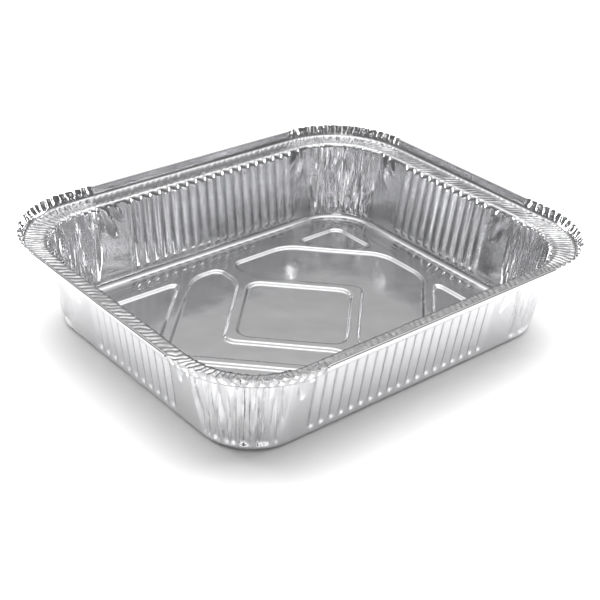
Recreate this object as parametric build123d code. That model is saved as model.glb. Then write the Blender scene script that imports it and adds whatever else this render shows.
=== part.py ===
from build123d import *
import math
import os

# One-piece aluminium foil tray, pressed from a single flat blank. Millimetres, +Z up.
# The origin is on the table, under the middle of the base. X runs along the long side.

# Foil
gauge = 0.12

# Outer skin, as half lengths from the middle of the tray
foot_long = 137.0
foot_short = 111.5
foot_radius = 36.0
wall_flare = 8.5
wall_top_radius = 46.0
ledge_height = 60.0
ledge_width = 14.5
rim_radius = 59.0
flange_flare = 1.0
rim_height = 68.0

# Bends between the base, the walls, the ledge and the flange
foot_bend = 5.5
ledge_bend = 1.2

# Rolled hem on the straight runs of the rim
hem_radius = 1.15
hem_wrap = 300.0
hem_back = (-80.0, 100.0)
hem_left = (-74.0, 74.0)
hem_front = (-96.0, 96.0)
hem_right = (-75.0, 56.0)

# Upright flutes pressed inwards, evenly spaced; each row is moved along its wall
flute_pitch = 8.05
flute_count_long = 19
flute_count_short = 11
flute_shift_long = 12.5
flute_shift_short = -6.0
flute_width = 6.2
flute_depth = 1.2
flute_foot = 7.0
flute_top = 53.5

# Gathered corners: folds down the wall and pleats round the flange
fold_count = 9
fold_width = 4.4
fold_depth = 0.8
fold_foot = 12.0
fold_top = 54.5
pleat_count = 18
pleat_width = 3.6
pleat_depth = 0.6

# Creases pressed down into the ledge: slanting on the straight runs, radial round the corners
crease_pitch = 7.0
crease_count_long = 27
crease_count_short = 21
crease_count_corner = 12
crease_width = 2.0
crease_depth = 0.35
crease_length = 6.5
crease_slant = 38.0

# Base: a plateau in two steps on a flat border, with panels pressed back down to the table
step_insets = (11.0, 19.0)
step_height = 0.9
plateau_slope = 45.0
panel_inset = 28.0
panel_corner = 9.0
diamond_half = 36.5
diamond_middle = (0.0, 3.2)
rib_width = 9.0
rib_far = 103.3
rib_near = -67.7
rib_left = -85.0
rib_right = 90.0
split_width = 14.0

# Derived sizes
wall_angle = math.degrees(math.atan2(wall_flare, ledge_height))
flange_angle = math.degrees(math.atan2(flange_flare, rim_height - ledge_height))
rim_long = foot_long + wall_flare + ledge_width
rim_short = foot_short + wall_flare + ledge_width
slope_shift = math.tan(math.radians((90 - plateau_slope) / 2))


def wall_block(inset):
    """Rounded block inside the walls, flared and with its corners opening out upwards."""
    lean = math.radians(wall_angle)
    sections = []
    for height in (inset, ledge_height + 1):
        share = height / ledge_height
        shift = wall_flare * share - inset / math.cos(lean)
        corner = foot_radius + (wall_top_radius - foot_radius) * share - inset
        outline = RectangleRounded(2 * (foot_long + shift), 2 * (foot_short + shift), corner)
        sections.append(Pos(0, 0, height) * outline)
    return loft(sections, ruled=True)


def rim_block(inset):
    """Rounded block inside the upright flange, standing on the ledge."""
    lean = math.radians(flange_angle)
    shift = inset * (math.tan(lean) - 1 / math.cos(lean))
    outline = RectangleRounded(2 * (rim_long + shift), 2 * (rim_short + shift), rim_radius + shift)
    rise = rim_height - ledge_height - inset
    return extrude(Pos(0, 0, ledge_height + inset) * outline, rise, taper=-flange_angle)


def bare_form(inset):
    """The tray as a filled block, without flutes or panels, its skin moved inwards by inset."""
    walls = wall_block(inset)
    foot = walls.edges().group_by(Axis.Z)[0]
    walls = fillet(foot, foot_bend - inset)
    rim = rim_block(inset)
    foot = rim.edges().group_by(Axis.Z)[0]
    rim = fillet(foot, ledge_bend + gauge - inset)
    form = walls + rim
    level = ledge_height + inset
    bend = form.edges().filter_by_position(Axis.Z, level - 0.01, level + 0.01)
    reach = foot_long + wall_flare + ledge_width / 3
    side = foot_short + wall_flare + ledge_width / 3
    inner = [edge for edge in bend if abs(edge.center().X) < reach and abs(edge.center().Y) < side]
    return fillet(inner, ledge_bend + inset)


def groove_radius(width, depth):
    """Radius of a round tool that presses a groove of this width and depth into a flat wall."""
    return (width * width / 4 + depth * depth) / (2 * depth)


def groove_tool(radius, length):
    """Round bar with round ends, standing on the middle of its lower end's ball."""
    profile = Polyline((0, -radius), (0, length + radius))
    low = RadiusArc((0, -radius), (radius, 0), -radius)
    high = RadiusArc((radius, length), (0, length + radius), -radius)
    outline = make_face([profile, low, Line((radius, 0), (radius, length)), high])
    return revolve(Plane.XZ * outline, Axis.Z)


def wall_tools(inset):
    """The flute tools all round the straight walls."""
    radius = groove_radius(flute_width, flute_depth)
    lean = math.radians(wall_angle)
    length = (flute_top - flute_foot) / math.cos(lean)
    tool = groove_tool(radius + inset, length)
    stand_off = (radius - flute_depth) / math.cos(lean) + flute_foot * math.tan(lean)
    tools = []
    for turn in (0, 90, 180, 270):
        along_long = turn in (0, 180)
        count = flute_count_long if along_long else flute_count_short
        shift = flute_shift_long if along_long else flute_shift_short
        half = foot_short if along_long else foot_long
        for index in range(count):
            offset = shift + (index - (count - 1) / 2) * flute_pitch
            place = Rot(0, 0, turn) * Pos(offset, half + stand_off, flute_foot) * Rot(-wall_angle, 0, 0)
            tools.append(place * tool)
    return tools


def corner_wall(turn, height):
    """Point on the corner wall in this direction, in the quarter where X and Y are positive."""
    share = height / ledge_height
    corner = foot_radius + (wall_top_radius - foot_radius) * share
    angle = math.radians(turn)
    across = foot_long + wall_flare * share - corner + corner * math.cos(angle)
    along = foot_short + wall_flare * share - corner + corner * math.sin(angle)
    return Vector(across, along, height)


def corner_places(turn, stand_off, low, high):
    """Planes standing off the four corner walls in this direction, leaning with the wall."""
    places = []
    for side_x, side_y in ((1, 1), (-1, 1), (-1, -1), (1, -1)):
        way = Vector(side_x * math.cos(math.radians(turn)), side_y * math.sin(math.radians(turn)), 0)
        foot, head = (corner_wall(turn, height) for height in (low, high))
        rise = Vector(side_x * (head.X - foot.X), side_y * (head.Y - foot.Y), high - low)
        start = Vector(side_x * foot.X, side_y * foot.Y, low) + way * stand_off
        places.append(Plane(origin=start, x_dir=rise.cross(way), z_dir=rise))
    return places


def corner_tools(inset):
    """The fold tools on the corner walls and the pleat tools on the corner flange."""
    fold = groove_radius(fold_width, fold_depth)
    fold_tool = groove_tool(fold + inset, fold_top - fold_foot)
    pleat = groove_radius(pleat_width, pleat_depth)
    pleat_foot = ledge_height + pleat_width
    pleat_tool = groove_tool(pleat + inset, 2 * (rim_height - pleat_foot))
    tip = math.tan(math.radians(flange_angle))
    pleat_reach = rim_radius + pleat_width * tip + pleat - pleat_depth
    tools = []
    for index in range(fold_count):
        turn = (index + 0.5) * 90 / fold_count
        places = corner_places(turn, fold - fold_depth, fold_foot, fold_top)
        tools += [place * fold_tool for place in places]
    for side_x, side_y, start in ((1, 1, 0), (-1, 1, 90), (-1, -1, 180), (1, -1, 270)):
        middle = Pos(side_x * (rim_long - rim_radius), side_y * (rim_short - rim_radius), pleat_foot)
        for index in range(pleat_count):
            turn = start + (index + 0.5) * 90 / pleat_count
            place = Rot(0, 0, turn) * Pos(pleat_reach, 0) * Rot(0, flange_angle, 0)
            tools.append(middle * place * pleat_tool)
    return tools


def crease_tools(inset):
    """The tools that press the ledge down into creases, added to the filled form."""
    radius = groove_radius(crease_width, crease_depth)
    tool = Pos(-crease_length / 2, 0, 0) * Rot(0, 90, 0) * groove_tool(radius + gauge - inset, crease_length)
    height = ledge_height + gauge + radius - crease_depth
    middle = wall_flare + ledge_width / 2 + 0.2
    tools = []
    for turn in (0, 90, 180, 270):
        along_long = turn in (0, 180)
        count = crease_count_long if along_long else crease_count_short
        half = foot_short if along_long else foot_long
        for index in range(count):
            offset = (index - (count - 1) / 2) * crease_pitch
            place = Pos(offset, half + middle, height) * Rot(0, 0, 90 - crease_slant)
            tools.append(Rot(0, 0, turn) * place * tool)
    for side_x, side_y, start in ((1, 1, 0), (-1, 1, 90), (-1, -1, 180), (1, -1, 270)):
        centre = Pos(side_x * (rim_long - rim_radius), side_y * (rim_short - rim_radius), height)
        for index in range(crease_count_corner):
            turn = start + (index + 0.5) * 90 / crease_count_corner
            place = Rot(0, 0, turn) * Pos(rim_radius - ledge_width / 2, 0)
            tools.append(centre * place * tool)
    return tools


def diagonal_strip(distance, turn, width):
    """Long straight strip square to the direction turn, at this distance from the middle."""
    return Rot(0, 0, turn) * Pos(distance, 0) * Rectangle(width, 4 * foot_long)


def panel_outlines():
    """Outlines of the panels on the table: a diamond, two arrow shapes round it and four corners."""
    field = Rectangle(2 * (foot_long - panel_inset), 2 * (foot_short - panel_inset))
    ring_size = 2 * (diamond_half + rib_width)
    ring = Pos(*diamond_middle) * Rot(0, 0, 45) * RectangleRounded(ring_size, ring_size, panel_corner)
    field -= ring
    field -= Rectangle(split_width, 4 * foot_short)
    for distance, turn in ((rib_far, 45), (rib_near, 45), (rib_left, -45), (rib_right, -45)):
        field -= diagonal_strip(distance, turn, rib_width)
    outlines = []
    for face in field.faces():
        core = offset(face, -panel_corner)
        for part in core.faces():
            outlines += offset(part, panel_corner).faces()
    diamond = RectangleRounded(2 * diamond_half, 2 * diamond_half, panel_corner)
    outlines += (Pos(*diamond_middle) * Rot(0, 0, 45) * diamond).faces()
    return outlines


def plateau_tool(outlines, inset):
    """The stepped block that lifts the plateau off the table, with a pad left for each panel."""
    grow = slope_shift * inset
    steps = []
    for index, width in enumerate(step_insets):
        corner = foot_radius - width / 2 + grow
        shift = grow - width
        outline = RectangleRounded(2 * (foot_long + shift), 2 * (foot_short + shift), corner)
        level = Pos(0, 0, inset + index * step_height)
        steps.append(extrude(level * outline, step_height, taper=90 - plateau_slope))
    block = steps[0] + steps[1]
    height = len(step_insets) * step_height
    for face in outlines:
        shrunk = offset(face, -grow).faces() if grow > 0 else [face]
        for part in shrunk:
            block -= extrude(Pos(0, 0, inset) * part, height, taper=plateau_slope - 90)
    return block


def tray_form(outlines, inset):
    """The complete tray as a filled block, its skin moved inwards by inset."""
    form = bare_form(inset)
    form = form.fuse(*crease_tools(inset))
    form = form.cut(*wall_tools(inset), *corner_tools(inset))
    return form - plateau_tool(outlines, inset)


def hem_plane(start, half):
    """Plane square to one straight run, its X pointing out of the flange where the hem starts."""
    tip = math.radians(flange_angle)
    height = rim_height - hem_radius + (hem_radius - gauge) * math.sin(tip)
    reach = half + (height - ledge_height) * math.tan(tip)
    return Plane(origin=(start, reach, height), x_dir=(0, math.cos(tip), -math.sin(tip)), z_dir=(1, 0, 0))


def hem(run, half):
    """Foil curled outwards and down along one straight run, made along X for the +Y side."""
    far = 2 * hem_radius
    gap = math.radians(hem_wrap - 180)
    low = (far * math.cos(gap), -far * math.sin(gap))
    opening = make_face(Polyline((0, 0), (-far, 0), (-far, low[1]), low, close=True))
    section = Circle(hem_radius) - Circle(hem_radius - gauge) - opening
    return extrude(hem_plane(run[0], half) * Pos(hem_radius - gauge, 0) * section, run[1] - run[0])


def hem_relief(run, half):
    """The strip of upright flange that the hem takes the place of."""
    strip = Pos(0, 2 * hem_radius) * Rectangle(4 * hem_radius, 4 * hem_radius)
    return extrude(hem_plane(run[0], half) * strip, run[1] - run[0])


def tray():
    """The foil between the outer and inner skins, with a hem along each straight run of the rim."""
    outlines = panel_outlines()
    foil = tray_form(outlines, 0) - tray_form(outlines, gauge)
    long_sides = ((0, hem_back, rim_short), (180, hem_front, rim_short))
    sides = long_sides + ((90, hem_left, rim_long), (270, hem_right, rim_long))
    foil = foil.cut(*[Rot(0, 0, turn) * hem_relief(run, half) for turn, run, half in sides])
    return foil.fuse(*[Rot(0, 0, turn) * hem(run, half) for turn, run, half in sides])


foil_tray = tray()
box = foil_tray.bounding_box()
print("foil tray", round(foil_tray.volume), "mm3", [round(value, 2) for value in (*box.min, *box.max)])
os.makedirs("parts", exist_ok=True)
export_step(foil_tray, "parts/foil_tray.step")
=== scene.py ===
import math
import bmesh
import bpy
import numpy as np
from mathutils import Matrix


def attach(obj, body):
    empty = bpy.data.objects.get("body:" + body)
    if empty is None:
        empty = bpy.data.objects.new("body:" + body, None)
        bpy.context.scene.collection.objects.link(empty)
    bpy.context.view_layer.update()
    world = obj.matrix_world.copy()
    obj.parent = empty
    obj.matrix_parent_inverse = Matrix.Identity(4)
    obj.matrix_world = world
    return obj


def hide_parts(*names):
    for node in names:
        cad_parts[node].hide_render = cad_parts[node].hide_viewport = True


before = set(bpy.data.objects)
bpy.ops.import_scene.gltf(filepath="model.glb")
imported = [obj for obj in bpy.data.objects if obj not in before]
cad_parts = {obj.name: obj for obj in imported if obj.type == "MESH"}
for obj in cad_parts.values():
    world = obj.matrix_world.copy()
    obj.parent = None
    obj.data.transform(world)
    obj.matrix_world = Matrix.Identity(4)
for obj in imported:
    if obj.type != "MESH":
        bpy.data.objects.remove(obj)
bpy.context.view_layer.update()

# The tray's own sizes in millimetres, as outer skin half lengths, radii and heights
tray = {
    "footLong": 137.0,
    "footShort": 111.5,
    "footRadius": 36.0,
    "baseInset": 25.0,  # from the foot line to the middle part of the base
    "footBend": 5.5,
    "wallFlare": 8.5,
    "wallTopRadius": 46.0,
    "ledgeHeight": 60.0,
    "ledgeWidth": 14.5,
    "ledgeBend": 2.2,
    "rimRadius": 59.0,
    "flangeFlare": 1.0,
    "rimHeight": 68.0,
    "gauge": 0.12,
    "steps": (11.5, 19.5),  # the two steps of the base, from the foot line
    "stepHeight": 0.9,
    "skirtLean": 2.4,  # how far the pleated corners of the rim stand out and up from the hem
    "skirtRise": 0.9,
    "leafDepth": 1.6,
    "cellsLong": 246,  # mesh cells along the straight part of a long side
    "cellsShort": 190,
    "cellsCorner": 70,  # mesh cells in each half corner
}

# Each side by the way it faces: its hem, its flutes, how far their row is moved, its ledge creases,
# and how far past each end of the flute row the crumpled corner starts
sides = {
    "foilBack": {"turn": 90, "hem": (-80.0, 100.0), "flutes": 19, "shift": 12.5,
                 "creases": 40, "plain": (22.5, 19.0)},
    "foilLeft": {"turn": 180, "hem": (-74.0, 74.0), "flutes": 11, "shift": -6.0,
                 "creases": 30, "plain": (22.0, 28.0)},
    "foilFront": {"turn": 270, "hem": (-96.0, 96.0), "flutes": 19, "shift": 12.5,
                 "creases": 40, "plain": (22.0, 20.0)},
    "foilRight": {"turn": 0, "hem": (-75.0, 56.0), "flutes": 11, "shift": -6.0,
                 "creases": 30, "plain": (29.0, 21.0)},
}

# What is pressed and crumpled into the foil, in millimetres
relief = {
    "Flute Pitch": 8.05,
    "Flute Width": 7.6,
    "Flute Depth": 2.1,
    "Flute Foot": 5.6,
    "Flute Top": 59.8,
    "Crumple Depth": 2.6,
    "Crumple Width": 2.6,
    "Crumple Length": 30.0,
    "Crease Depth": 0.6,
    "Pleat Depth": 1.5,
    "Seed": 4.0,
}

# Panels pressed into the base, as distances from its middle along the two diagonals
panels = {
    "field": (109.0, 83.5),
    "diamondMiddle": (0.0, 3.2),
    "diamondHalf": 36.5,
    "ribWidth": 9.0,
    "ribs": ((45, 103.3), (45, -67.7), (-45, -85.0), (-45, 90.0)),
    "splitWidth": 14.0,
    "corner": 9.0,
    "slope": 1.6,
    "height": 1.8,
}

# Leaf shaped dents next to each crumpled corner: distance from it and height, at top and tail, and half width
leaves = (
    ((-5.0, 59.0), (-13.0, 34.0), 3.4),
    ((-12.0, 59.0), (-20.0, 45.0), 2.8),
    ((0.5, 57.5), (-4.5, 42.0), 1.8),
)

# The curl along each straight run of the rim
hem = {
    "radius": 1.15,
    "wrap": 300.0,
}

print("tray sizes read")


def addNode(tree, kind, **values):
    node = tree.nodes.new(kind)
    for name, value in values.items():
        setattr(node, name, value)
    return node


def plug(tree, value, socket):  # a socket is linked, anything else is set
    if isinstance(value, bpy.types.NodeSocket):
        tree.links.new(value, socket)
    elif value is not None:
        socket.default_value = value


def calc(tree, operation, *values):
    node = addNode(tree, "ShaderNodeMath", operation=operation)
    for value, socket in zip(values, node.inputs):
        plug(tree, value, socket)
    return node.outputs[0]


def calcVector(tree, operation, *values):
    node = addNode(tree, "ShaderNodeVectorMath", operation=operation)
    for value, socket in zip(values, node.inputs):
        plug(tree, value, socket)
    return node.outputs["Vector"]


def readAttribute(tree, name, kind="FLOAT"):
    node = addNode(tree, "GeometryNodeInputNamedAttribute", data_type=kind)
    node.inputs["Name"].default_value = name
    return node.outputs["Attribute"]


def newGeometryTree(name, sizes, extra=()):
    tree = bpy.data.node_groups.new(name, "GeometryNodeTree")
    tree.interface.new_socket(name="Geometry", in_out="INPUT", socket_type="NodeSocketGeometry")
    for size, value in sizes.items():
        socket = tree.interface.new_socket(name=size, in_out="INPUT", socket_type="NodeSocketFloat")
        socket.default_value = value
    for extraName, kind in extra:
        tree.interface.new_socket(name=extraName, in_out="INPUT", socket_type=kind)
    tree.interface.new_socket(name="Geometry", in_out="OUTPUT", socket_type="NodeSocketGeometry")
    return tree, tree.nodes.new("NodeGroupInput"), tree.nodes.new("NodeGroupOutput")


def finishTree(tree, geometry, material, groupOut):  # instances made real, then the foil put on
    realize = tree.nodes.new("GeometryNodeRealizeInstances")
    tree.links.new(geometry, realize.inputs[0])
    paint = tree.nodes.new("GeometryNodeSetMaterial")
    tree.links.new(realize.outputs[0], paint.inputs["Geometry"])
    tree.links.new(material, paint.inputs["Material"])
    tree.links.new(paint.outputs[0], groupOut.inputs[0])


def setInputs(modifier, values):  # by each socket's identifier
    for item in modifier.node_group.interface.items_tree:
        if item.item_type == "SOCKET" and item.in_out == "INPUT" and item.name in values:
            modifier[item.identifier] = values[item.name]


# The bright finish of the foil, with a fine grain and cloudy patches of gloss
finish = {
    "tone": (0.76, 0.76, 0.77),
    "roughness": (0.09, 0.20),
    "grainScale": 900.0,
    "grainStrength": 0.12,
    "cloudScale": 60.0,
}


def makeFoil():
    material = bpy.data.materials.new("brightFoil")
    material.use_nodes = True
    nodes = material.node_tree
    shader = nodes.nodes["Principled BSDF"]
    shader.inputs["Base Color"].default_value = (*finish["tone"], 1.0)
    shader.inputs["Metallic"].default_value = 1.0
    where = addNode(nodes, "ShaderNodeTexCoord")
    grain = addNode(nodes, "ShaderNodeTexNoise")
    plug(nodes, where.outputs["Object"], grain.inputs["Vector"])
    grain.inputs["Scale"].default_value = finish["grainScale"]
    grain.inputs["Detail"].default_value = 3.0
    cloud = addNode(nodes, "ShaderNodeTexNoise")
    plug(nodes, where.outputs["Object"], cloud.inputs["Vector"])
    cloud.inputs["Scale"].default_value = finish["cloudScale"]
    cloud.inputs["Detail"].default_value = 4.0
    rough = addNode(nodes, "ShaderNodeMapRange")
    plug(nodes, cloud.outputs["Fac"], rough.inputs["Value"])
    rough.inputs["From Min"].default_value = 0.3
    rough.inputs["From Max"].default_value = 0.7
    rough.inputs["To Min"].default_value = finish["roughness"][0]
    rough.inputs["To Max"].default_value = finish["roughness"][1]
    plug(nodes, rough.outputs["Result"], shader.inputs["Roughness"])
    bump = addNode(nodes, "ShaderNodeBump")
    plug(nodes, grain.outputs["Fac"], bump.inputs["Height"])
    bump.inputs["Strength"].default_value = finish["grainStrength"]
    bump.inputs["Distance"].default_value = 0.0004
    plug(nodes, bump.outputs["Normal"], shader.inputs["Normal"])
    return material


foil = makeFoil()
print("foil material made")


def smooth(value, low, high):
    share = np.clip((value - low) / (high - low), 0.0, 1.0)
    return share * share * (3 - 2 * share)


def cornerRadius(offset, height):  # the corners open out from the foot to the rim
    high = tray["ledgeHeight"]
    low = tray["footBend"] * (1 - math.sin(math.atan2(tray["wallFlare"], high)))
    if height < low:
        places = (-tray["baseInset"], -12.0, 0.0)
        radii = (0.0, tray["footRadius"] - 12.0, tray["footRadius"])
        opened = (tray["wallTopRadius"] - tray["footRadius"]) * low / high if offset > -7 else 0.0
        return float(np.interp(offset, places, radii)) + opened * (height / low) ** 2
    if height < high - 1.3:
        return tray["footRadius"] + (tray["wallTopRadius"] - tray["footRadius"]) * height / high
    spread = min(max((offset - tray["wallFlare"]) / tray["ledgeWidth"], 0.0), 1.0)
    return tray["wallTopRadius"] + (tray["rimRadius"] - tray["wallTopRadius"]) * spread


def ringRows():  # offset from the foot line, height, corner radius, normal out and up, share of the flange
    lean = math.atan2(tray["wallFlare"], tray["ledgeHeight"])
    tip = math.atan2(tray["flangeFlare"], tray["rimHeight"] - tray["ledgeHeight"])
    high = tray["ledgeHeight"]
    rows = []

    def add(offset, height, out, up, share=0.0):
        rows.append((offset, height, cornerRadius(offset, height), out, up, share))

    # rows across the edge of the base, closer together at its two steps
    insets = (tray["baseInset"], 23.5, 22.0, 20.6, 20.1, 19.5, 18.9, 18.4, 16.5)
    insets += (14.5, 12.6, 12.1, 11.5, 10.9, 10.4, 9.0, 7.8)
    for inset in insets:
        step = sum(smooth(inset, middle - 0.9, middle + 0.9) for middle in tray["steps"])
        add(-inset, float(tray["stepHeight"] * step), 0.0, -1.0)
    bend = tray["footBend"]
    middle = bend * (1 - math.sin(lean)) / math.cos(lean)
    for angle in np.linspace(0, math.pi / 2 - lean, 13)[:-1]:
        sine, cosine = math.sin(angle), math.cos(angle)
        add(-middle + bend * sine, bend - bend * cosine, sine, -cosine)
    low = bend - bend * math.sin(lean)
    bend = tray["ledgeBend"]
    top = high - bend + bend * math.sin(lean)
    for height in np.linspace(low, top, round((top - low) / 0.84)):
        add(height * math.tan(lean), height, math.cos(lean), -math.sin(lean))
    start = (high - bend) * math.tan(lean) + bend / math.cos(lean)
    for angle in np.linspace(math.pi - lean, math.pi / 2, 5)[1:]:
        sine, cosine = math.sin(angle), math.cos(angle)
        add(start + bend * cosine, high - bend + bend * sine, -cosine, -sine)
    bend = tray["ledgeBend"] + tray["gauge"]
    end = tray["wallFlare"] + tray["ledgeWidth"] + bend * math.tan(tip) - bend / math.cos(tip)
    for offset in np.linspace(start, end, 15)[1:]:
        add(offset, high, 0.0, -1.0)
    for angle in np.linspace(-math.pi / 2, -tip, 5)[1:]:
        sine, cosine = math.sin(angle), math.cos(angle)
        add(end + bend * cosine, high + bend + bend * sine, cosine, sine)
    low = high + bend - bend * math.sin(tip)
    for share in np.linspace(0, 1, 10)[1:]:
        height = low + (tray["rimHeight"] - 1.0 - low) * share
        offset = tray["wallFlare"] + tray["ledgeWidth"] + (height - high) * math.tan(tip)
        add(offset, height, math.cos(tip), -math.sin(tip), share)
    return np.array(rows)


guides = ("facing", "loop", "fluteWay", "fluteHalf", "rise", "crumple", "crease", "ledge", "corner", "pleat")
guides += ("skirt", "edge")


def newMesh(name, points, faces, values):  # millimetres in, a smooth mesh with its attributes out
    points = points.reshape(-1, 3)
    mesh = bpy.data.meshes.new(name)
    mesh.vertices.add(len(points))
    mesh.vertices.foreach_set("co", (points * 0.001).astype(np.float32).ravel())
    mesh.loops.add(faces.size)
    mesh.loops.foreach_set("vertex_index", faces.astype(np.int32).ravel())
    mesh.polygons.add(len(faces))
    mesh.polygons.foreach_set("loop_start", np.arange(0, faces.size, 4, dtype=np.int32))
    mesh.update(calc_edges=True)
    mesh.polygons.foreach_set("use_smooth", np.ones(len(faces), dtype=bool))
    for key, value in values.items():
        flat = np.asarray(value, dtype=np.float32).ravel()
        kind, field = ("FLOAT", "value") if flat.size == len(points) else ("FLOAT_VECTOR", "vector")
        mesh.attributes.new(key, kind, "POINT").data.foreach_set(field, flat)
    shape = bmesh.new()
    shape.from_mesh(mesh)
    bmesh.ops.remove_doubles(shape, verts=shape.verts, dist=1e-8)
    shape.to_mesh(mesh)
    shape.free()
    return mesh


def gridFaces(rowCount, columnCount):  # wound so that the first direction crossed with the second is outwards
    index = np.arange(rowCount * columnCount).reshape(rowCount, columnCount)
    corners = (index[:-1, :-1], index[1:, :-1], index[1:, 1:], index[:-1, 1:])
    return np.stack([corner.ravel() for corner in corners], axis=1)


def leafDents(gap, height):  # how deep the leaf shaped dents are, gap being measured from the crumpled corner
    depth = np.zeros_like(gap)
    for (topGap, topHeight), (tailGap, tailHeight), width in leaves:
        way = np.array([tailGap - topGap, tailHeight - topHeight])
        length = np.hypot(*way)
        way = way / length
        along = ((gap - topGap) * way[0] + (height - topHeight) * way[1]) / length
        across = (gap - topGap) * -way[1] + (height - topHeight) * way[0]
        inside = np.clip(along * (1 - along) * 4, 0, 1) ** 0.5
        depth = np.maximum(depth, inside * np.clip(1 - np.abs(across) / (width * (0.25 + inside)), 0, 1))
    return depth


# How the crumples, creases and pleats of a side are laid out, in millimetres
layout = {
    "roundReach": 60.0,  # further into the crumples with each radian round a corner
    "footReach": 5.0,  # the crumples start this much later at the foot, from footHeight down
    "footHeight": 30.0,
    "loopInset": 20.0,  # the rounded loop that the crumples are spread along
    "loopRadius": 45.0,
    "cornerCreases": 12,  # in half a corner
    "creaseSlant": 0.15,
    "creased": (9.2, 10.5, 21.0, 22.5),  # across the ledge: fading in over the first two, out over the others
    "cornerPleats": 8,  # in half a corner
    "pleatPitch": 5.8,
    "noFlutes": 900.0,  # further from any flute than the tray is long
}


def sideMesh(name, spec):
    offset, height, radius, out, up, share = ringRows().T[:, :, None]
    isLong = spec["turn"] in (90, 270)
    halves = (tray["footLong"], tray["footShort"])
    alongHalf, outHalf = halves if isLong else halves[::-1]
    cells = tray["cellsLong"] if isLong else tray["cellsShort"]
    bends = tray["cellsCorner"]
    quarter = np.radians(np.linspace(45, 0, bends + 1))[:-1]
    angle = np.concatenate([-quarter, np.zeros(cells + 1), quarter[::-1]])[None, :]
    spot = np.concatenate([-np.ones(bends), np.linspace(-1, 1, cells + 1), np.ones(bends)])[None, :]
    curved = np.abs(angle) > 0
    height = height + 0 * angle
    core = alongHalf + offset - radius  # half of the straight part, row by row
    straight = core * spot
    fromRow = straight - spec["shift"]
    past = np.abs(fromRow) - (spec["flutes"] - 1) / 2 * relief["Flute Pitch"] - relief["Flute Width"] / 2
    plain = np.where(spot < 0, spec["plain"][0], spec["plain"][1])
    low = smooth(layout["footHeight"] - height, 0.0, layout["footHeight"])
    gap = past - plain + layout["roundReach"] * np.abs(angle) - layout["footReach"] * low
    onWall = smooth(height, 3.0, 8.0) * smooth(tray["ledgeHeight"] - height, 0.3, 2.0)
    hemLow, hemHigh = spec["hem"]
    hemmed = smooth(straight, hemLow - 0.5, hemLow + 0.5) * smooth(-straight, -hemHigh - 0.5, -hemHigh + 0.5)
    skirt = np.where(curved, 1.0, 1 - hemmed)
    grow = skirt * share  # the pleated skirt stands a little higher than the hem and leans out
    wide = radius + tray["skirtLean"] * grow
    along = straight + wide * np.sin(angle)
    away = outHalf + offset - radius + wide * np.cos(angle)
    dent = tray["leafDepth"] * leafDents(gap, height) * onWall * ~curved
    rise = height + tray["skirtRise"] * grow
    turn = math.radians(spec["turn"])
    outWay = np.array([math.cos(turn), math.sin(turn), 0.0])
    alongWay = np.array([math.sin(turn), -math.cos(turn), 0.0])
    lift = np.array([0.0, 0.0, 1.0])
    points = along[..., None] * alongWay + (away - dent)[..., None] * outWay + rise[..., None] * lift
    facing = np.sin(angle)[..., None] * alongWay + np.cos(angle)[..., None] * outWay
    loop = straight[..., None] * alongWay + (outHalf - layout["loopInset"]) * outWay
    loop = loop + facing * layout["loopRadius"]
    across = (offset - tray["wallFlare"]) * np.cos(2 * angle) ** 2
    ledge = smooth(height, tray["ledgeHeight"] - 0.6, tray["ledgeHeight"] - 0.1) * (share < 0.01)
    start, full, fade, end = layout["creased"]
    ledge = ledge * smooth(offset, start, full) * smooth(-offset, -end, -fade)
    slant = across * layout["creaseSlant"]
    bend = angle / (math.pi / 4)
    values = {
        "facing": facing * (out + 0 * angle)[..., None] + lift * (up + 0 * angle)[..., None],
        "loop": loop + lift * height[..., None],
        "fluteWay": np.where(curved, layout["noFlutes"], fromRow),
        "fluteHalf": (spec["flutes"] - 1) / 2 + 0 * height,
        "rise": height,
        "crumple": smooth(gap, -1.0, 2.0) * onWall,
        "crease": spot * spec["creases"] / 2 + bend * layout["cornerCreases"] - slant,
        "ledge": ledge,
        "corner": smooth(np.abs(straight), core - 12.0, core),
        "pleat": bend * layout["cornerPleats"] + straight / layout["pleatPitch"],
        "skirt": skirt * smooth(share, 0.0, 0.25),
        "edge": grow,
    }
    return newMesh(name, points, gridFaces(*points.shape[:2]), values)


def panelDistance(x, y):  # millimetres outside the nearest panel, less than zero inside one
    turned = {}
    for turn in (45, -45):
        turned[turn] = x * math.cos(math.radians(turn)) + y * math.sin(math.radians(turn))
    middleX, middleY = panels["diamondMiddle"]
    alongA = np.abs(turned[45] - (middleX + middleY) * math.sqrt(0.5))
    alongB = np.abs(turned[-45] - (middleX - middleY) * math.sqrt(0.5))

    def joined(walls, corner):  # the largest of the walls, with inside corners rounded
        shifted = [np.maximum(wall + corner, 0.0) for wall in walls]
        within = np.minimum(np.maximum.reduce(walls) + corner, 0.0)
        return np.sqrt(sum(wall * wall for wall in shifted)) + within - corner

    half = panels["diamondHalf"]
    diamond = joined([alongA - half, alongB - half], panels["corner"])
    ring = half + panels["ribWidth"]
    walls = [-joined([alongA - ring, alongB - ring], panels["corner"])]
    walls += [np.abs(x) - panels["field"][0], np.abs(y) - panels["field"][1]]
    for turn, distance in panels["ribs"]:
        walls.append(panels["ribWidth"] / 2 - np.abs(turned[turn] - distance))
    walls.append(panels["splitWidth"] / 2 - np.abs(x))
    return np.minimum(diamond, joined(walls, panels["corner"] * 0.7))


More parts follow.
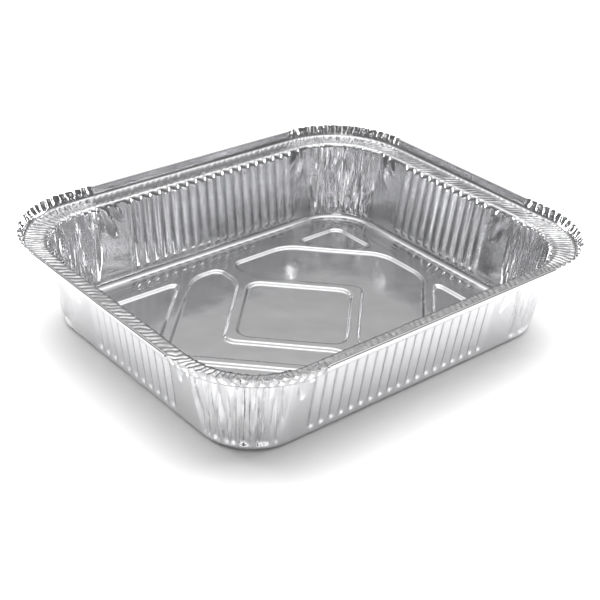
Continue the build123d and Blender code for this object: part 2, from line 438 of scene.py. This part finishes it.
def baseMesh(name):
    reach = (tray["footLong"] - tray["baseInset"], tray["footShort"] - tray["baseInset"])
    x = np.linspace(-reach[0], reach[0], tray["cellsLong"] + 1)[:, None]
    y = np.linspace(reach[1], -reach[1], tray["cellsShort"] + 1)[None, :]
    x, y = x + 0 * y, y + 0 * x
    height = panels["height"] * smooth(panelDistance(x, y), 0.0, panels["slope"])
    points = np.stack([x, y, height], axis=-1)
    flat = 0 * x
    values = {
        "facing": np.stack([flat, flat, flat - 1], axis=-1),
        "loop": points,
        "fluteWay": flat + layout["noFlutes"],
    }
    for key in guides:
        values.setdefault(key, flat)
    return newMesh(name, points, gridFaces(*points.shape[:2]), values)


def noise(tree, where, scale, detail, seed):
    node = addNode(tree, "ShaderNodeTexNoise", noise_dimensions="4D")
    plug(tree, where, node.inputs["Vector"])
    plug(tree, seed, node.inputs["W"])
    node.inputs["Scale"].default_value = scale
    node.inputs["Detail"].default_value = detail
    return node.outputs[0]


def foilTree():  # everything that is pressed, gathered and crumpled into a plain sheet of foil
    tree, groupIn, groupOut = newGeometryTree("pressedFoil", relief, [("Material", "NodeSocketMaterial")])
    size = groupIn.outputs
    seed = size["Seed"]
    rise = readAttribute(tree, "rise")
    loop = readAttribute(tree, "loop", "FLOAT_VECTOR")
    position = addNode(tree, "GeometryNodeInputPosition").outputs[0]
    place = calcVector(tree, "MULTIPLY", position, (1000.0, 1000.0, 1000.0))  # in millimetres

    # flutes with round ends
    way = calc(tree, "DIVIDE", readAttribute(tree, "fluteWay"), size["Flute Pitch"])
    half = readAttribute(tree, "fluteHalf")
    index = calc(tree, "MINIMUM", calc(tree, "ROUND", way), half)
    index = calc(tree, "MAXIMUM", index, calc(tree, "MULTIPLY", half, -1.0))
    aside = calc(tree, "MULTIPLY", calc(tree, "SUBTRACT", way, index), size["Flute Pitch"])
    reach = calc(tree, "MULTIPLY", size["Flute Width"], 0.5)
    top = calc(tree, "SUBTRACT", size["Flute Top"], reach)
    foot = calc(tree, "ADD", size["Flute Foot"], reach)
    level = calc(tree, "MAXIMUM", calc(tree, "MINIMUM", rise, top), foot)
    over = calc(tree, "SUBTRACT", rise, level)
    far = calc(tree, "ADD", calc(tree, "MULTIPLY", aside, aside), calc(tree, "MULTIPLY", over, over))
    slope = calc(tree, "DIVIDE", far, calc(tree, "MULTIPLY", reach, reach))
    slope = calc(tree, "SQRT", calc(tree, "ADD", slope, 0.03))
    flute = calc(tree, "MAXIMUM", calc(tree, "SUBTRACT", 1.0, slope), 0.0)
    flute = calc(tree, "MULTIPLY", flute, size["Flute Depth"])

    # crumpled corners: long upright folds with finer ones between them
    squeeze = addNode(tree, "ShaderNodeCombineXYZ")
    inverse = calc(tree, "DIVIDE", 1.0, size["Crumple Width"])
    plug(tree, inverse, squeeze.inputs[0])
    plug(tree, inverse, squeeze.inputs[1])
    plug(tree, calc(tree, "DIVIDE", 1.0, size["Crumple Length"]), squeeze.inputs[2])
    squeezed = calcVector(tree, "MULTIPLY", loop, squeeze.outputs[0])
    coarse = noise(tree, squeezed, 0.5, 1.0, seed)
    fine = noise(tree, squeezed, 1.0, 0.0, calc(tree, "ADD", seed, 7.0))
    folds = calc(tree, "PINGPONG", calc(tree, "MULTIPLY", coarse, 3.2), 0.5)
    small = calc(tree, "PINGPONG", calc(tree, "MULTIPLY", fine, 2.4), 0.5)
    crumple = calc(tree, "ADD", calc(tree, "MULTIPLY", folds, 1.4), calc(tree, "MULTIPLY", small, 0.6))
    deep = calc(tree, "MULTIPLY", size["Crumple Depth"], readAttribute(tree, "crumple"))
    crumple = calc(tree, "MULTIPLY", crumple, deep)

    # ledge creases, rougher round the corners
    wander = calc(tree, "MULTIPLY", calc(tree, "SUBTRACT", noise(tree, place, 0.16, 1.0, seed), 0.5), 1.5)
    corner = readAttribute(tree, "corner")
    ridge = calc(tree, "PINGPONG", calc(tree, "ADD", readAttribute(tree, "crease"), wander), 0.5)
    ridge = calc(tree, "POWER", calc(tree, "MULTIPLY", ridge, 2.0), 2.0)
    weak = calc(tree, "MULTIPLY", noise(tree, place, 0.09, 1.0, calc(tree, "ADD", seed, 2.0)), 2.6)
    weak = calc(tree, "MAXIMUM", calc(tree, "SUBTRACT", weak, 0.7), 0.1)
    weak = calc(tree, "ADD", weak, calc(tree, "MULTIPLY", corner, 0.35))
    ridge = calc(tree, "MULTIPLY", ridge, weak)
    rough = calc(tree, "PINGPONG", calc(tree, "MULTIPLY", noise(tree, place, 0.35, 2.0, seed), 4.0), 0.5)
    rough = calc(tree, "MULTIPLY", rough, calc(tree, "MULTIPLY", corner, 0.5))
    crease = calc(tree, "MULTIPLY", calc(tree, "ADD", ridge, rough), size["Crease Depth"])
    crease = calc(tree, "MULTIPLY", crease, readAttribute(tree, "ledge"))

    # pleats round the corner skirts
    gather = calc(tree, "ADD", readAttribute(tree, "pleat"), calc(tree, "MULTIPLY", wander, 0.6))
    pleat = calc(tree, "MULTIPLY", calc(tree, "PINGPONG", gather, 0.5), 2.0)
    groove = calc(tree, "MAXIMUM", calc(tree, "SUBTRACT", calc(tree, "MULTIPLY", pleat, 2.0), 1.0), 0.0)
    pleat = calc(tree, "ADD", calc(tree, "MULTIPLY", pleat, 0.4), calc(tree, "MULTIPLY", groove, 0.7))
    pleat = calc(tree, "ADD", pleat, calc(tree, "MULTIPLY", small, 0.25))
    deep = calc(tree, "MULTIPLY", size["Pleat Depth"], readAttribute(tree, "skirt"))
    pleat = calc(tree, "MULTIPLY", pleat, deep)

    # slight waves everywhere
    below = calc(tree, "DIVIDE", calc(tree, "SUBTRACT", 63.5, rise), 3.0)
    below = calc(tree, "MAXIMUM", calc(tree, "MINIMUM", below, 1.0), 0.0)
    waves = calc(tree, "MULTIPLY", noise(tree, place, 0.03, 2.0, seed), calc(tree, "MULTIPLY", below, 0.5))
    others = calc(tree, "ADD", calc(tree, "SUBTRACT", pleat, crease), waves)
    total = calc(tree, "ADD", calc(tree, "ADD", flute, crumple), others)
    shift = addNode(tree, "ShaderNodeVectorMath", operation="SCALE")
    plug(tree, readAttribute(tree, "facing", "FLOAT_VECTOR"), shift.inputs[0])
    plug(tree, calc(tree, "MULTIPLY", total, -0.001), shift.inputs["Scale"])
    jag = addNode(tree, "ShaderNodeCombineXYZ")
    teeth = calc(tree, "SUBTRACT", noise(tree, place, 0.5, 2.0, seed), 0.5)
    teeth = calc(tree, "MULTIPLY", teeth, readAttribute(tree, "edge"))
    plug(tree, calc(tree, "MULTIPLY", teeth, 0.0014), jag.inputs[2])
    move = tree.nodes.new("GeometryNodeSetPosition")
    tree.links.new(groupIn.outputs["Geometry"], move.inputs["Geometry"])
    tree.links.new(calcVector(tree, "ADD", shift.outputs[0], jag.outputs[0]), move.inputs["Offset"])
    finishTree(tree, move.outputs[0], size["Material"], groupOut)
    return tree


def hemTree():  # a closed section carried along one straight run of the rim, not quite straight
    sizes = {"Start": 0.0, "End": 0.1, "Reach": 0.13, "Height": 0.064, "Waver": 0.0003}
    tree, groupIn, groupOut = newGeometryTree("rolledHem", sizes, [("Material", "NodeSocketMaterial")])
    size = groupIn.outputs
    ends = []
    for key in ("Start", "End"):
        end = addNode(tree, "ShaderNodeCombineXYZ")
        plug(tree, size[key], end.inputs[0])
        plug(tree, size["Reach"], end.inputs[1])
        plug(tree, size["Height"], end.inputs[2])
        ends.append(end.outputs[0])
    line = tree.nodes.new("GeometryNodeCurvePrimitiveLine")
    plug(tree, ends[0], line.inputs["Start"])
    plug(tree, ends[1], line.inputs["End"])
    level = addNode(tree, "GeometryNodeSetCurveNormal", mode="Z_UP")
    tree.links.new(line.outputs[0], level.inputs["Curve"])
    steps = tree.nodes.new("GeometryNodeResampleCurve")
    tree.links.new(level.outputs[0], steps.inputs["Curve"])
    steps.inputs["Count"].default_value = 120
    wave = noise(tree, addNode(tree, "GeometryNodeInputPosition").outputs[0], 22.0, 2.0, 3.0)
    wave = calc(tree, "MULTIPLY", calc(tree, "SUBTRACT", wave, 0.5), size["Waver"])
    shift = addNode(tree, "ShaderNodeCombineXYZ")
    dip = calc(tree, "MULTIPLY", calc(tree, "ABSOLUTE", wave), -1.0)
    plug(tree, dip, shift.inputs[1])
    plug(tree, dip, shift.inputs[2])
    bent = tree.nodes.new("GeometryNodeSetPosition")
    tree.links.new(steps.outputs[0], bent.inputs["Geometry"])
    tree.links.new(shift.outputs[0], bent.inputs["Offset"])
    section = tree.nodes.new("GeometryNodeMeshToCurve")
    tree.links.new(groupIn.outputs["Geometry"], section.inputs["Mesh"])
    sweep = tree.nodes.new("GeometryNodeCurveToMesh")
    tree.links.new(bent.outputs[0], sweep.inputs["Curve"])
    tree.links.new(section.outputs[0], sweep.inputs["Profile Curve"])
    sweep.inputs["Fill Caps"].default_value = True
    finishTree(tree, sweep.outputs[0], size["Material"], groupOut)
    return tree


def bake(name, mesh, tree, inputs, thick=0.0, turn=0.0):  # runs the nodes once and keeps the plain mesh
    maker = bpy.data.objects.new(name + "Maker", mesh)
    bpy.context.scene.collection.objects.link(maker)
    modifier = maker.modifiers.new("press", "NODES")
    modifier.node_group = tree
    setInputs(modifier, inputs)
    if thick:
        shell = maker.modifiers.new("gauge", "SOLIDIFY")
        shell.thickness = thick
        shell.offset = -1.0
    bpy.context.view_layer.update()
    ready = maker.evaluated_get(bpy.context.evaluated_depsgraph_get())
    result = bpy.data.meshes.new_from_object(ready)
    bpy.data.objects.remove(maker)
    result.name = name
    result.transform(Matrix.Rotation(turn, 4, "Z"))
    result.set_sharp_from_angle(angle=math.radians(70))
    piece = bpy.data.objects.new(name, result)
    bpy.context.scene.collection.objects.link(piece)
    for key in guides:
        if key in result.attributes:
            result.attributes.remove(result.attributes[key])
    print(name, "made,", sum(len(face.vertices) - 2 for face in result.polygons), "triangles")
    return piece


def hemSection():  # the curl of the hem as a closed outline
    outer = hem["radius"]
    inner = hem["radius"] - tray["gauge"]
    sweep = np.radians(np.linspace(180, 180 - hem["wrap"], 40))
    ring = [(outer * math.cos(a), outer * math.sin(a)) for a in sweep]
    ring += [(inner * math.cos(a), inner * math.sin(a)) for a in sweep[::-1]]
    mesh = bpy.data.meshes.new("hemSection")
    count = len(ring)
    edges = [(i, (i + 1) % count) for i in range(count)]
    mesh.from_pydata([(-x * 0.001, -y * 0.001, 0.0) for x, y in ring], edges, [])
    return mesh


pressTree = foilTree()
pressInputs = dict(relief, Material=foil)
pieces = [bake("foilBase", baseMesh("foilBase"), pressTree, pressInputs, tray["gauge"] * 0.001)]
for name, spec in sides.items():
    pieces.append(bake(name, sideMesh(name, spec), pressTree, pressInputs, tray["gauge"] * 0.001))

rollTree = hemTree()
for name, spec in sides.items():
    outHalf = tray["footShort"] if spec["turn"] in (90, 270) else tray["footLong"]
    lean = math.atan2(tray["flangeFlare"], tray["rimHeight"] - tray["ledgeHeight"])
    inside = hem["radius"] - tray["gauge"]
    level = tray["rimHeight"] - hem["radius"]
    reach = outHalf + tray["wallFlare"] + tray["ledgeWidth"] + inside * math.cos(lean)
    reach += (level + inside * math.sin(lean) - tray["ledgeHeight"]) * math.tan(lean)
    start, end = spec["hem"]
    run = {"Start": start * 0.001, "End": end * 0.001, "Reach": reach * 0.001, "Height": level * 0.001}
    run["Material"] = foil
    turn = math.radians(spec["turn"] - 90)
    pieces.append(bake(name.replace("foil", "hem"), hemSection(), rollTree, run, 0.0, turn))
for piece in pieces:
    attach(piece, "root")
    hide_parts("foil_tray")
print("foil pieces placed")

# The plain floor, and the tones of the soft light round it: from low to high, and lower on the camera's side
studio = {
    "floorSize": 6.0,
    "floorTone": 0.9,
    "sky": ((0.0, 0.03), (0.40, 0.05), (0.58, 0.11), (0.66, 0.13), (0.80, 0.20), (0.89, 0.34), (1.0, 0.46)),
    "skyPower": 3.6,
    "brightWay": (0.654, 0.756),
    "brightLean": 0.2,
}

floorMesh = bpy.data.meshes.new("floor")
half = studio["floorSize"] / 2
floorCorners = [(-half, -half, 0), (half, -half, 0), (half, half, 0), (-half, half, 0)]
floorMesh.from_pydata(floorCorners, [], [(0, 1, 2, 3)])
floor = bpy.data.objects.new("floor", floorMesh)
bpy.context.scene.collection.objects.link(floor)
plain = bpy.data.materials.new("plainFloor")
plain.use_nodes = True
plainShader = plain.node_tree.nodes["Principled BSDF"]
plainShader.inputs["Base Color"].default_value = (*[studio["floorTone"]] * 3, 1.0)
plainShader.inputs["Roughness"].default_value = 0.9
plainShader.inputs["Specular IOR Level"].default_value = 0.1
floorMesh.materials.append(plain)

world = bpy.data.worlds.new("softStudio")
world.use_nodes = True
bpy.context.scene.world = world
sky = world.node_tree
around = addNode(sky, "ShaderNodeTexCoord")
parts = addNode(sky, "ShaderNodeSeparateXYZ")
plug(sky, around.outputs["Generated"], parts.inputs[0])
wayX = calc(sky, "MULTIPLY", parts.outputs["X"], studio["brightWay"][0] * studio["brightLean"])
wayY = calc(sky, "MULTIPLY", parts.outputs["Y"], studio["brightWay"][1] * studio["brightLean"])
ramp = addNode(sky, "ShaderNodeValToRGB")
plug(sky, calc(sky, "ADD", parts.outputs["Z"], calc(sky, "ADD", wayX, wayY)), ramp.inputs["Fac"])
while len(ramp.color_ramp.elements) < len(studio["sky"]):
    ramp.color_ramp.elements.new(0.5)
for element, (height, tone) in zip(ramp.color_ramp.elements, studio["sky"]):
    element.position = height
    element.color = (tone, tone, tone, 1.0)
plug(sky, ramp.outputs["Color"], sky.nodes["Background"].inputs["Color"])
sky.nodes["Background"].inputs["Strength"].default_value = studio["skyPower"]

# Soft lights: place, what they face, width, height and power
lights = {
    "overhead": ((0.35, 0.42, 1.9), (0.0, 0.0, 0.0), 2.8, 2.8, 75.0),
    "leftSide": ((-0.55, 1.5, 0.5), (0.0, 0.0, 0.05), 0.35, 0.7, 9.0),
    "front": ((-1.0, -1.15, 1.28), (0.0, 0.0, 0.03), 0.7, 0.7, 1.5),
    "rightSide": ((1.55, -0.42, 0.5), (0.0, 0.0, 0.05), 0.35, 0.7, 9.0),
}


def aim(position, target):  # a lamp or camera at position, looking at target
    back = np.array(position) - np.array(target)
    back = back / np.linalg.norm(back)
    right = np.cross((0.0, 0.0, 1.0), back)
    right = right / np.linalg.norm(right)
    up = np.cross(back, right)
    turned = Matrix((right, up, back)).transposed().to_4x4()
    turned.translation = position
    return turned


for name, (position, target, width, height, power) in lights.items():
    lamp = bpy.data.lights.new(name, "AREA")
    lamp.shape = "RECTANGLE"
    lamp.size = width
    lamp.size_y = height
    lamp.energy = power
    holder = bpy.data.objects.new(name, lamp)
    holder.matrix_world = aim(position, target)
    holder.visible_glossy = name != "overhead"  # it lights the floor without glaring in the foil
    bpy.context.scene.collection.objects.link(holder)

# The camera: where it stands, its axes and its lens
view = {
    "position": (-0.493189, -0.559966, 0.442342),
    "right": (0.770858, -0.635790, 0.039354),
    "up": (0.290935, 0.406355, 0.866160),
    "back": (-0.566687, -0.656237, 0.498216),
    "lens": 75.03,
    "shift": (0.0186, -0.0023),
}

camera = bpy.data.objects.new("camera", bpy.data.cameras.new("camera"))
camera.data.sensor_width = 36.0
camera.data.lens = view["lens"]
camera.data.shift_x, camera.data.shift_y = view["shift"]
camera.data.clip_start = 0.05
placed = Matrix((view["right"], view["up"], view["back"])).transposed().to_4x4()
placed.translation = view["position"]
camera.matrix_world = placed
bpy.context.scene.collection.objects.link(camera)
bpy.context.scene.camera = camera
bpy.context.scene.view_settings.view_transform = "Standard"
print("studio and camera placed")
